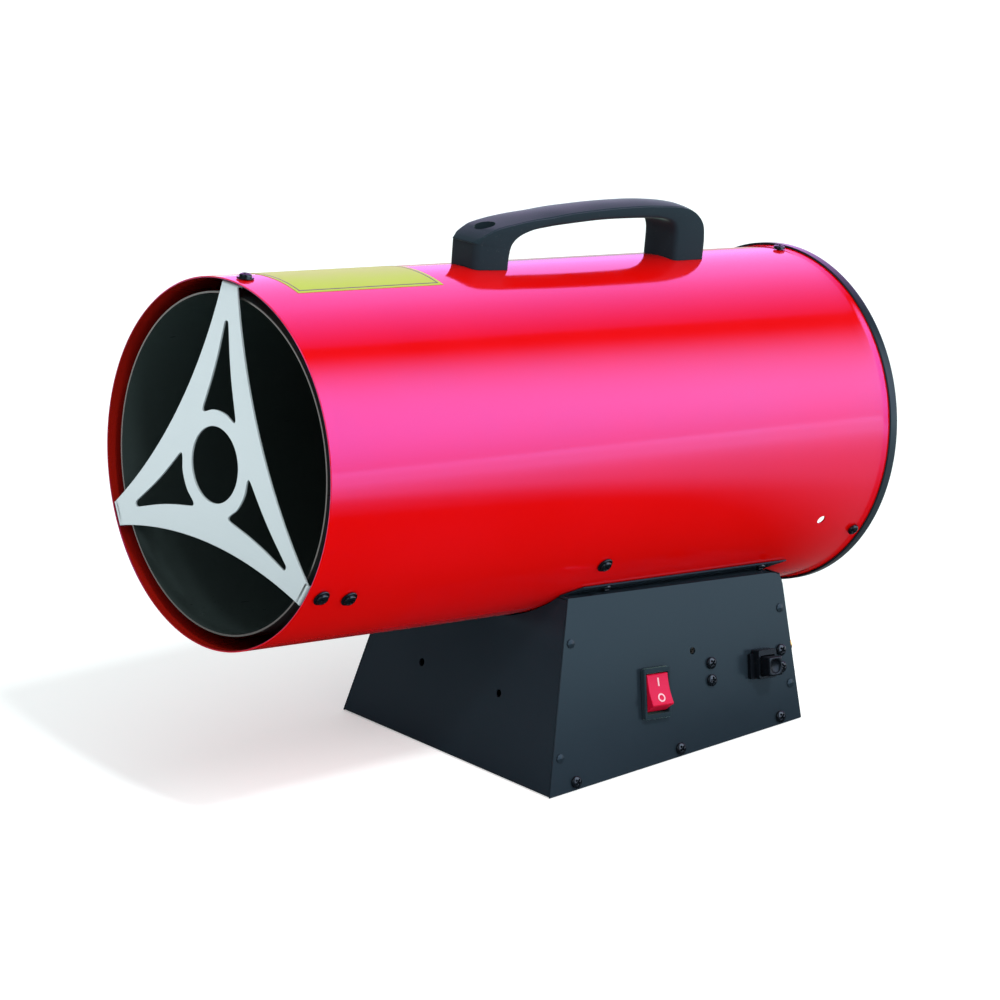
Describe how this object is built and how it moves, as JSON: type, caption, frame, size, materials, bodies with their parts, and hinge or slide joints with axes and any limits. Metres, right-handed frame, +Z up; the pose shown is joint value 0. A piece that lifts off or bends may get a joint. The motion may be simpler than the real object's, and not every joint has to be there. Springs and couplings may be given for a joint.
{
  "type": "forced air heater",
  "caption": "Portable gas forced air heater: a tilted steel barrel holding fan, burner and flame tube, with a carry handle, on a folded sheet base with its controls.",
  "frame": {"origin": "on the floor, under the middle of the barrel's length and width", "axes": "+X towards the control panel, -Y the way the hot air leaves, +Z up"},
  "size_m": [0.2146, 0.4611, 0.3239],
  "materials": {
    "shell": "gloss red enamel on sheet steel",
    "tube": "dark heat-stained sheet steel",
    "guard": "satin stainless sheet",
    "black_metal": "semi-gloss black powder coat",
    "handle": "fine-grained dark slate moulding",
    "black_plastic": "satin black moulding",
    "red_plastic": "polished translucent red moulding",
    "white_plastic": "natural nylon moulding",
    "zinc": "bright zinc plate",
    "screw": "black oxide",
    "alloy": "die-cast or pressed, bare",
    "brass": "turned, lightly oxidised",
    "copper": "drawn copper tube",
    "label": "plain yellow film",
    "ceramic": "unglazed alumina"
  },
  "bodies": {
    "heater": {"outer_shell": "shell", "combustion_tube": "tube", "front_guard": "guard", "rear_guard": "black_metal", "handle": "handle", "handle_screw": "screw", "guard_screw_1": "screw", "guard_screw_2": "screw", "guard_screw_3": "screw", "tube_screw_front_1": "screw", "tube_screw_front_2": "screw", "tube_screw_rear_1": "screw", "tube_screw_rear_2": "screw", "rear_guard_screw_1": "screw", "rear_guard_screw_2": "screw", "rear_guard_screw_3": "screw", "burner_plate": "tube", "burner_cup": "tube", "gas_nozzle": "brass", "nozzle_holder": "zinc", "igniter_ceramic": "ceramic", "igniter_rod": "zinc", "flame_sensor": "copper", "overheat_switch": "black_plastic", "gas_pipe": "copper", "motor_body": "black_metal", "motor_front_bell": "zinc", "motor_rear_bell": "zinc", "base_plate": "black_metal", "front_panel": "black_metal", "rear_panel": "black_metal", "control_panel": "black_metal", "left_panel": "black_metal", "switch_body": "black_plastic", "button_collar": "black_plastic", "gas_valve": "alloy", "terminal_block": "white_plastic", "valve_screw_1": "screw", "valve_screw_2": "screw", "terminal_screw_1": "screw", "terminal_screw_2": "screw", "tray_screw_1": "screw", "tray_screw_2": "screw", "tray_screw_3": "screw", "cradle_screw_1": "screw", "cradle_screw_2": "screw", "gas_inlet": "brass", "cable_gland": "black_plastic", "ignition_module": "black_plastic"},
    "fan_rotor": {"fan_impeller": "alloy", "fan_nut": "zinc", "motor_shaft": "zinc"},
    "rocker": {"switch_rocker": "red_plastic"},
    "button": {"gas_button": "black_plastic"}
  },
  "joints": [
    {"name": "fan_spin", "type": "hinge", "parent": "heater", "child": "fan_rotor", "pos_m": [0, 0, 0.1883], "axis": [0, 0.994, -0.1094], "continuous": true},
    {"name": "rocker_tilt", "type": "hinge", "parent": "heater", "child": "rocker", "pos_m": [0.0865, 0.0348, 0.04165], "axis": [0.0207, 0.994, -0.1074], "range_deg": [0, 30]},
    {"name": "button_press", "type": "slide", "parent": "heater", "child": "button", "axis": [-0.9819, 0, -0.1896], "range_m": [0, 0.006], "stiffness_N_per_m": 300, "springref_m": -0.002}
  ]
}
